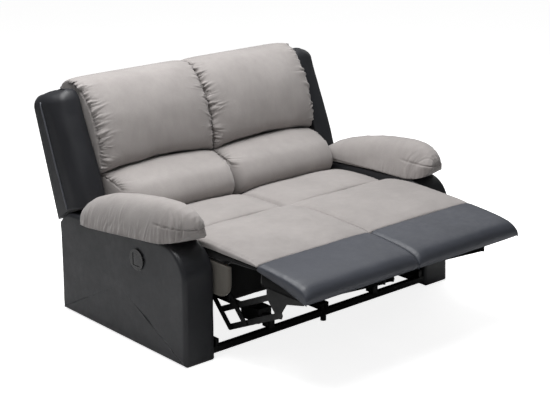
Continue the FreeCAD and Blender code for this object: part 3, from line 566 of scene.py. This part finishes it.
def back_panel(side, sign):
    """The rear cover of a back, tight over the frame, with round top corners on the wing."""
    count, low, high = 60, 42, 735
    corner = WING_TOP - WING_CORNER
    levels = np.concatenate([np.linspace(low, 186, 16), [187.5], np.linspace(190, corner, 50),
                             corner + WING_CORNER * np.sin(np.linspace(0.06, 1, 14) * math.pi / 2),
                             [716.5, 722, 728, 733, high]])
    across = np.linspace(0, 1, count)
    rings = []
    for level in levels:
        x = 2 + (panel_reach(level) - 2) * across
        puff = 1.6 * np.sin(np.pi * across) ** 0.5 * math.sin(math.pi * (level - low) / (high - low)) ** 0.5
        seam = 1.5 * hump(x - 604, 2.6) * (level > 188)
        outer = back_row(sign * x, FRAME_REAR + 8.2 + puff - seam, np.full(count, level))
        inner = back_row(sign * x, np.full(count, FRAME_REAR + 0.2), np.full(count, level))
        rings.append(np.vstack([outer, inner[::-1]]))
    obj = grid_mesh(f"{side}_rear_cover", np.array(rings))
    dress(obj, DARK, "dark_leather", f"{side}_back", f"{side}_back_panel")


def thin_sheet(name, front, rear):
    """A closed sheet between two grids of points."""
    return grid_mesh(name, np.concatenate([front, rear[:, ::-1]], 1))


def inner_side_cover(side, sign):
    """The thin dark cover on the side of a back that faces the other back."""
    depth, height = np.meshgrid(np.linspace(60.5, 111.0, 10), np.linspace(116, 728, 70), indexing="ij")
    front, rear = (back_row(np.full(depth.shape, sign * x), depth, height) for x in (0.5, 1.4))
    dress(thin_sheet(f"{side}_inner_side_cover", front, rear), DARK, "dark_leather", f"{side}_back")


# Seats and footrests

# Lines from the side, as y and z in the row frame. The seat's front panel and the footrest's end meet at the fold.
FOLD = -243
CHAISE_TOP = [(-242, 455), (-237, 463), (-205, 471), (-165, 476), (-60, 483), (60, 487), (150, 482), (205, 472),
              (236, 461), (247, 448)]
CHAISE_UNDER = [(FOLD, 451), (-60, 452), (60, 455), (250, 444)]
# The black sheet under the chaise's thin edge: painted shade where the cushion's lower side lies in shadow.
CHAISE_SHADE_TOP = [(-242, 450), (-60, 451), (60, 454), (240, 443)]
CHAISE_SHADE_UNDER = [(-242, 437), (-90, 432), (-60, 411), (240, BOARD_TOP)]
REAR_TOP = [(249, 446), (257, 459), (290, 467), (350, 470), (430, 468), (500, 462), (545, 450), (575, 434),
            (596, 412)]
REAR_UNDER = [(249, BOARD_TOP), (500, BOARD_TOP), (596, 392)]
END_TOP = [(-508, 376), (-516, 388), (-517, 405), (-508, 424), (-486, 440), (-448, 450), (-400, 457), (-330, 463),
           (-280, 466), (-256, 466), (-247, 462), (-243.6, 453)]
END_UNDER = [(-518, 375), (-500, 380), (-464, 400), (-360, 420), (FOLD, 437)]
BOARD_COVER_TOP = [(-497, 381), (-464, 401), (-360, 421), (-246, 437)]
BOARD_COVER_UNDER = [(-497, 374.2), (-246, 374.2)]
# How far a seat cushion's seam lies from its side.
SIDE_SEAM = 9.0


def flat_cushion(name, sign, width, top_line, under, round_off, grain, waves, seed, folds=1.6):
    """A cushion lying flat: its top line and its lower line both run from the front to the rear.

    grain is the number of points across it and along its top line. waves and folds are the heights of its soft
    waves and of the gathers at its side seams.
    """
    low, high = width
    top = curve(top_line, grain[1])
    under_y, under_z = np.array(under, float).T
    ends = [(top[0][0], under_z[0]), (top[-1][0], under_z[-1])]
    floor_y = np.linspace(ends[1][0], ends[0][0], 44)
    floor = np.stack([floor_y, np.interp(floor_y, under_y, under_z)], 1)
    lead = np.linspace(ends[0], top[0], 8)[:-1]
    trail = np.linspace(top[-1], ends[1], 8)[1:-1]
    ring = np.vstack([lead, top, trail, floor])[:-1]
    bottom = np.interp(ring[:, 0], under_y, under_z)
    xs, full = swollen(low, high, grain[0], round_off, (ring[:, 1] - bottom).max())
    height = bottom + full[:, None] * (ring[:, 1] - bottom)[None, :]
    x_all = np.repeat(xs[:, None], len(ring), 1)
    y_all = np.repeat(ring[None, :, 0], len(xs), 0)
    grid = row(sign * x_all, y_all, height)
    on_top = np.zeros(len(ring))
    on_top[len(lead):len(lead) + len(top)] = 1
    edge = np.minimum(xs - low, high - xs)[:, None]
    lift = waves * ripples(x_all, y_all, seed, (120, 95, 1.0), (45, 40, 0.4)) * ease(edge, 8, 80)
    lift += folds * gathers(y_all, np.maximum(edge - SIDE_SEAM, 0), 17, 24, seed + 2) * ease(edge, 3, 12)
    lift -= 2.4 * hump(edge - SIDE_SEAM, 3.0)
    grid = grid + normals(grid) * (lift * on_top[None, :] / 1000)[..., None]
    return grid_mesh(name, grid)


def seat(side, sign):
    """The seat: a front panel that ends at the fold, and a rear panel under the lumbar roll."""
    seed = 310 if sign > 0 else 340
    chaise = flat_cushion(f"{side}_seat_chaise", sign, (1.0, 592.5), CHAISE_TOP, CHAISE_UNDER, 5.0, (130, 130), 3.0,
                          seed)
    dress(chaise, GREY, "grey_microfibre", None, f"{side}_seat_cushion", f"{side}_calf_pad", soft=0.65)
    # A black sheet under the chaise, painted shade below its thin grey edge.
    lining = flat_cushion(f"{side}_chaise_painted_shade", sign, (2.0, 589.0), CHAISE_SHADE_TOP, CHAISE_SHADE_UNDER, 30.0, (60, 60), 0.0,
                          seed + 3, folds=0.0)
    dress(lining, LINING_AND_PAINTED_SHADE, "nylon", None)
    start, end = (tuple(row(sign * 300.0, y, 470.0)) for y in (-70.0, -258.0))
    for piece in (chaise, lining):
        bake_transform(piece)
    rear = flat_cushion(f"{side}_seat_rear_panel", sign, (1.0, 596), REAR_TOP, REAR_UNDER, 3.4, (100, 90), 2.6,
                        seed + 5)
    dress(rear, GREY, "grey_microfibre", f"{side}_seat", f"{side}_seat_cushion", soft=0.65)
    tuple(row(0.0, 400.0, BOARD_TOP))
    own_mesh(rear)


def front_lining(side, sign):
    """The black lining across the front of the seat box."""
    x, z = np.meshgrid(np.linspace(42, 551, 40), np.linspace(404, 240, 24), indexing="ij")
    sag = ripples(x, z, 700, (60, 90, 3.0), (18, 120, 1.0))
    front, rear = (row(sign * x, y + sag - 2, z) for y in (-19.5, -17.8))
    dress(thin_sheet(f"{side}_front_lining", front, rear), LINING_AND_PAINTED_SHADE, "nylon", f"{side}_seat")


def footrest_pad(side, sign):
    """The end of the footrest, and the black lining over its board."""
    pad = flat_cushion(f"{side}_footrest_cover", sign, (1.0, 592.5), END_TOP, END_UNDER, 7.0, (100, 120), 1.8,
                       410 if sign > 0 else 440, folds=0.8)
    dress(pad, SLATE, "footrest_leather", f"{side}_footrest", f"{side}_footrest_pad", soft=0.7)
    under = flat_cushion(f"{side}_footrest_lining", sign, (19.5, 575), BOARD_COVER_TOP, BOARD_COVER_UNDER, 9.0,
                         (50, 40), 0.0, 450, folds=0.0)
    dress(under, LINING_AND_PAINTED_SHADE, "nylon", f"{side}_footrest", f"{side}_footrest_pad", f"{side}_footrest_board")


def seat_boards(side, sign):
    """The padded side boards of the seat box, with a round lower front corner, in a darker copy of the grey
    microfibre that paints their shade.
    """
    front, rear, bottom, top, radius = -80, 500, 271, 405, 65
    corner = [(front + radius - radius * math.cos(t), bottom + radius - radius * math.sin(t))
              for t in np.linspace(0, math.pi / 2, 14)]
    path = np.vstack([np.linspace((rear, top), (front, top), 60)[:-1],
                      np.linspace((front, top), (front, bottom + radius), 10)[:-1],
                      corner, np.linspace((front + radius, bottom), (rear, bottom), 50)[1:],
                      np.linspace((rear, bottom), (rear, top), 14)[1:-1]])
    centre = path.mean(0)
    for low, high, name in ((2.0, 17.0, "inner"), (578.0, 593.0, "outer")):
        rings = []
        for x, size in ((low, 0.985), (low + 1.5, 0.996), (low + 4, 1.0), (high - 4, 1.0), (high - 1.5, 0.996),
                        (high, 0.985)):
            s = centre + (path - centre) * size
            rings.append(row(sign * np.full(len(s), x), s[:, 0], s[:, 1]))
        grid = capped(np.array(rings), 0.0, (0.97, 0.9, 0.75, 0.5, 0.25))
        board = grid_mesh(f"{side}_{name}_side_flap", grid)
        dress(board, SHADED, "grey_microfibre", f"{side}_seat", f"{side}_seat_boards")


# Arms

def arm_path():
    """The side outline of an arm, in even steps, from the front of the floor edge round."""
    depth, low, bend = 853, 5, 131
    notch = [(PIVOT[0] + ARM_SWING * math.cos(t), PIVOT[1] + ARM_SWING * math.sin(t))
             for t in np.linspace(math.atan2(134.6, 160), math.atan2(187, 93.4), 24)]
    corner = [(bend - bend * math.sin(t), 351 + bend * math.cos(t)) for t in np.linspace(0, math.pi / 2, 24)]
    spots = [(0, low), (depth, low), (depth, notch[0][1])] + notch + [(783.4, 447)] + corner + [(0, 351), (0, low)]
    return evenly(np.array(spots, float), 220, closed=True)


def cut_hole(obj, sign):
    """Opens the hole for the control's housing."""
    bpy.ops.mesh.primitive_cylinder_add(vertices=64, radius=CONTROL_HOLE / 1000, depth=0.08,
                                        location=tuple(row(sign * 740.0, *CONTROL)), rotation=(0, math.pi / 2, 0))
    cutter = bpy.context.object
    boolean = obj.modifiers.new("hole", "BOOLEAN")
    boolean.object, boolean.operation, boolean.solver = cutter, "DIFFERENCE", "EXACT"
    made = bpy.data.meshes.new_from_object(obj.evaluated_get(bpy.context.evaluated_depsgraph_get()))
    obj.modifiers.clear()
    obj.data = made
    bpy.data.objects.remove(cutter)
    obj.data.shade_smooth()


def arm_cover(side, sign):
    """The upholstered arm: side panels, and a front strip that wraps over the round top corner."""
    path = arm_path()
    centre = np.array([420.0, 215.0])
    tangent = np.roll(path, -1, 0) - np.roll(path, 1, 0)
    tangent /= np.linalg.norm(tangent, axis=1, keepdims=True)
    inward = np.stack([-tangent[:, 1], tangent[:, 0]], 1)
    if ((centre - path) * inward).sum() < 0:
        inward = -inward
    radius = 14.0
    turns = np.linspace(0, math.pi / 2, 7)
    stops = [(ARM_IN + radius * (1 - math.sin(t)), radius * (1 - math.cos(t))) for t in turns[::-1]]
    middle = [(x, 0.0) for x in np.linspace(ARM_IN + radius + 6, ARM_OUT - radius - 6, 14)]
    stops += middle + [(ARM_OUT - radius * (1 - math.sin(t)), radius * (1 - math.cos(t))) for t in turns]
    rings = []
    for x, inset in stops:
        s = path + inward * inset
        s[:, 1] = np.maximum(s[:, 1], 5.0)
        rings.append(row(sign * np.full(len(s), x), s[:, 0], s[:, 1]))
    steps = (0.985, 0.96, 0.92, 0.86, 0.78, 0.68, 0.56, 0.43, 0.3, 0.17, 0.06)
    grid = capped(np.array(rings), 0.0, steps)
    x, y, z = in_row(grid)
    seed = 510 if sign > 0 else 530
    lift = noise(y / 130, z / 110, seed) * 2.0 + noise(y / 55 + x / 60, z / 50, seed + 1) * 0.6
    # flat round the control and at the floor
    lift *= ease(np.hypot(y - CONTROL[0], z - CONTROL[1]), 46, 110) * ease(z, 6, 60)
    # the front strip's seams, a little in from each side
    for place in (ARM_IN + 9, ARM_OUT - 9):
        lift -= 1.8 * hump(x - place, 2.6) * ((y < 190) & (z > 6))
    grid = grid + normals(grid) * (lift / 1000)[..., None]
    obj = grid_mesh(f"{side}_arm_shell", grid)
    cut_hole(obj, sign)
    dress(obj, DARK, "dark_leather", "base", f"{side}_arm_cover")


# The pillow on an arm, from its nose to its rear: y, and the height or the place across at it.
PAD_CROWN = ([12, 25, 45, 80, 120, 190, 280, 380, 470, 560, 630, 670, 690],
             [584, 602, 616, 628, 634, 634, 626, 612, 594, 569, 543, 519, 500])
PAD_LOW_OUT = ([12, 25, 45, 80, 134, 300, 473, 609, 690], [540, 526, 512, 497, 484, 466, 446, 431, 424])
PAD_LOW_IN = ([12, 25, 45, 80, 134, 690], [532, 514, 498, 486, 476, 470])
PAD_OUTER = ([12, 25, 45, 80, 120, 170, 620, 690], [690, 710, 730, 749, 762, 769, 769, 756])
PAD_INNER = ([12, 25, 45, 80, 120, 640, 690], [632, 620, 611, 602, 597.5, 597.5, 606])
PAD_EDGE = ([12, 80, 134, 300, 473, 609, 690], [530, 494, 484, 466, 446, 431, 424])
ARM_TOP_LINE = ([12, 131, 783], [420, 483, 448])
PAD_ON_ARM = 126


def pad_section(y):
    """The pillow's outline across the arm, as x and z. It lies on the arm behind its nose."""
    crown, low_out = np.interp(y, *PAD_CROWN), np.interp(y, *PAD_LOW_OUT)
    arm_top = np.interp(y, *ARM_TOP_LINE)
    low_in = max(np.interp(y, *PAD_LOW_IN), arm_top - 9)
    outer, inner = np.interp(y, *PAD_OUTER), np.interp(y, *PAD_INNER)
    mid, half = (outer + inner) / 2, (outer - inner) / 2
    turn = np.linspace(0, math.pi, 90)
    side = np.sign(np.cos(turn)) * np.abs(np.cos(turn)) ** (2 / 2.5)
    up = np.abs(np.sin(turn)) ** (2 / 2.2)
    low = low_in + (low_out - low_in) * (side + 1) / 2
    if y < PAD_ON_ARM:
        under_x = np.linspace(inner, outer, 26)[1:-1]
        under_z = np.interp(under_x, [inner, outer], [low_in, low_out]) - 3 * np.sin(np.linspace(0, math.pi, 24))
    else:
        under_x = np.concatenate([[600.4], np.linspace(600.4, 750.6, 20), [750.6]])
        under_z = np.concatenate([[low_in + 1], np.full(20, arm_top + 1), [low_out + 1]])
    section = np.stack([np.concatenate([mid + half * side, under_x]),
                        np.concatenate([low + (crown - low) * up, under_z])], 1)
    return evenly(np.vstack([section, section[:1]]), 130, closed=True)


def arm_pad(side, sign):
    """The domed pillow on an arm, gathered along its lower edge and round its front."""
    stations = np.concatenate([np.linspace(12, 60, 26), np.linspace(63, 640, 200), np.linspace(643, 686, 14)])
    rings = []
    for y in stations:
        section = pad_section(y)
        rings.append(row(sign * section[:, 0], np.full(len(section), y), section[:, 1]))
    grid = capped(np.array(rings), 0.007, (0.985, 0.94, 0.86, 0.72, 0.5, 0.25))
    n = normals(grid)
    x, y, z = in_row(grid)
    seed = 610 if sign > 0 else 640
    up = z - np.interp(y, *PAD_EDGE)
    upright = ease(n[..., 2], -0.55, -0.2)
    outer, inner, nose = ease(x, 690, 735), 1 - ease(x, 612, 640), 1 - ease(y, 60, 170)
    seam = 553 + 0.02 * y
    lift = outer * upright * 10.0 * (gathers(y, np.maximum(up, 0), 15, 74, seed, 0.12) - 0.3 * hump(up, 60))
    lift += inner * upright * 3.5 * gathers(y, np.maximum(up, 0), 15, 45, seed + 3)
    lift += nose * upright * 9.0 * (gathers(x + 0.6 * y, np.abs(z - seam), 14, 44, seed + 5) - 0.3)
    lift -= 4.0 * hump(z - seam, 2.6) * (1 - ease(y, 150, 190))
    lift += ripples(x, y, seed + 8, (60, 110, 2.6), (26, 34, 1.0)) * ease(up, 20, 70)
    grid = grid + n * (lift / 1000)[..., None]
    obj = grid_mesh(f"{side}_arm_pillow", grid)
    dress(obj, GREY, "grey_microfibre", "base", f"{side}_arm_pad", soft=0.75)


for side_name, sign in SIDES.items():
    upper_cushion(side_name, sign)
    lumbar_cushion(side_name, sign)
    back_wing(side_name, sign)
    back_panel(side_name, sign)
    inner_side_cover(side_name, sign)
    seat(side_name, sign)
    front_lining(side_name, sign)
    footrest_pad(side_name, sign)
    seat_boards(side_name, sign)
    arm_cover(side_name, sign)
    arm_pad(side_name, sign)


# Floor, light and camera

# How bright the floor glows to the camera, and how bright the world is on the object.
FLOOR_GLOW, WORLD_LIGHT = 0.85, 0.13


def plain_floor():
    """A pale floor that shows white to the camera and keeps the object's shadow."""
    bpy.ops.mesh.primitive_plane_add(size=30, location=(0, 0, 0))
    floor = bpy.context.object
    floor.name = "floor"
    n = Nodes("pale_floor")
    path = n.add("ShaderNodeLightPath")
    paint = n.shade((0.86, 0.86, 0.86, 1.0), n.ramp(n.noise(3.0, 2.0, 0.5), 0.3, 0.7, 0.99, 1.01))
    n.finish(Base_Color=paint, Roughness=0.9, Specular_IOR_Level=0.1)
    n.put(n.shader.inputs["Emission Color"], (1.0, 1.0, 1.0, 1.0))
    seen = n.add("ShaderNodeMath")
    seen.operation = "ADD"
    n.put(seen.inputs[0], path.outputs["Is Camera Ray"])
    n.put(seen.inputs[1], path.outputs["Is Transmission Ray"])
    n.put(n.shader.inputs["Emission Strength"], n.times(seen.outputs[0], FLOOR_GLOW))
    floor.data.materials.append(n.material)


def pale_world():
    """A white background with a low, even light on the object."""
    world = bpy.data.worlds.new("studio")
    bpy.context.scene.world = world
    world.use_nodes = True
    tree = world.node_tree
    back = tree.nodes["Background"]
    path = tree.nodes.new("ShaderNodeLightPath")
    seen = tree.nodes.new("ShaderNodeMath")
    seen.operation = "MAXIMUM"
    tree.links.new(path.outputs["Is Camera Ray"], seen.inputs[0])
    tree.links.new(path.outputs["Is Transmission Ray"], seen.inputs[1])
    amount = tree.nodes.new("ShaderNodeMapRange")
    tree.links.new(seen.outputs[0], amount.inputs["Value"])
    amount.inputs["To Min"].default_value = WORLD_LIGHT
    amount.inputs["To Max"].default_value = 1.0
    tree.links.new(amount.outputs[0], back.inputs["Strength"])
    back.inputs["Color"].default_value = (1.0, 1.0, 1.0, 1.0)


def softbox(name, place, target, size, power):
    """A soft rectangular lamp aimed at a point."""
    lamp = bpy.data.lights.new(name, "AREA")
    lamp.shape = "RECTANGLE"
    lamp.size, lamp.size_y = size
    lamp.energy = power
    obj = bpy.data.objects.new(name, lamp)
    obj.location = place
    obj.rotation_euler = (Vector(target) - Vector(place)).to_track_quat("-Z", "Y").to_euler()
    bpy.context.scene.collection.objects.link(obj)


plain_floor()
pale_world()
softbox("overhead", (-0.5, 0.35, 3.2), (-0.1, 0.1, 0.4), (2.6, 2.2), 122)
softbox("key", (-3.2, -3.4, 2.6), (0, 0, 0.5), (2.2, 2.2), 7)
softbox("rim", (2.8, 1.2, 2.6), (0, 0.3, 0.7), (2.2, 1.6), 13)

# The camera's place and aim fit the arms' straight edges.
AZIMUTH, ELEVATION = math.radians(-41.369), math.radians(17.696)
camera = bpy.data.objects.new("camera", bpy.data.cameras.new("camera"))
camera.location = (-3.8145, -4.0042 + FRONT, 2.2718)
back = Vector((math.sin(AZIMUTH) * math.cos(ELEVATION), -math.cos(AZIMUTH) * math.cos(ELEVATION),
               math.sin(ELEVATION)))
camera.rotation_euler = (-back).to_track_quat("-Z", "Y").to_euler()
camera.data.sensor_width = 36.0
camera.data.lens = 92.64
bpy.context.scene.collection.objects.link(camera)
bpy.context.scene.camera = camera
bpy.context.scene.view_settings.view_transform = "Standard"
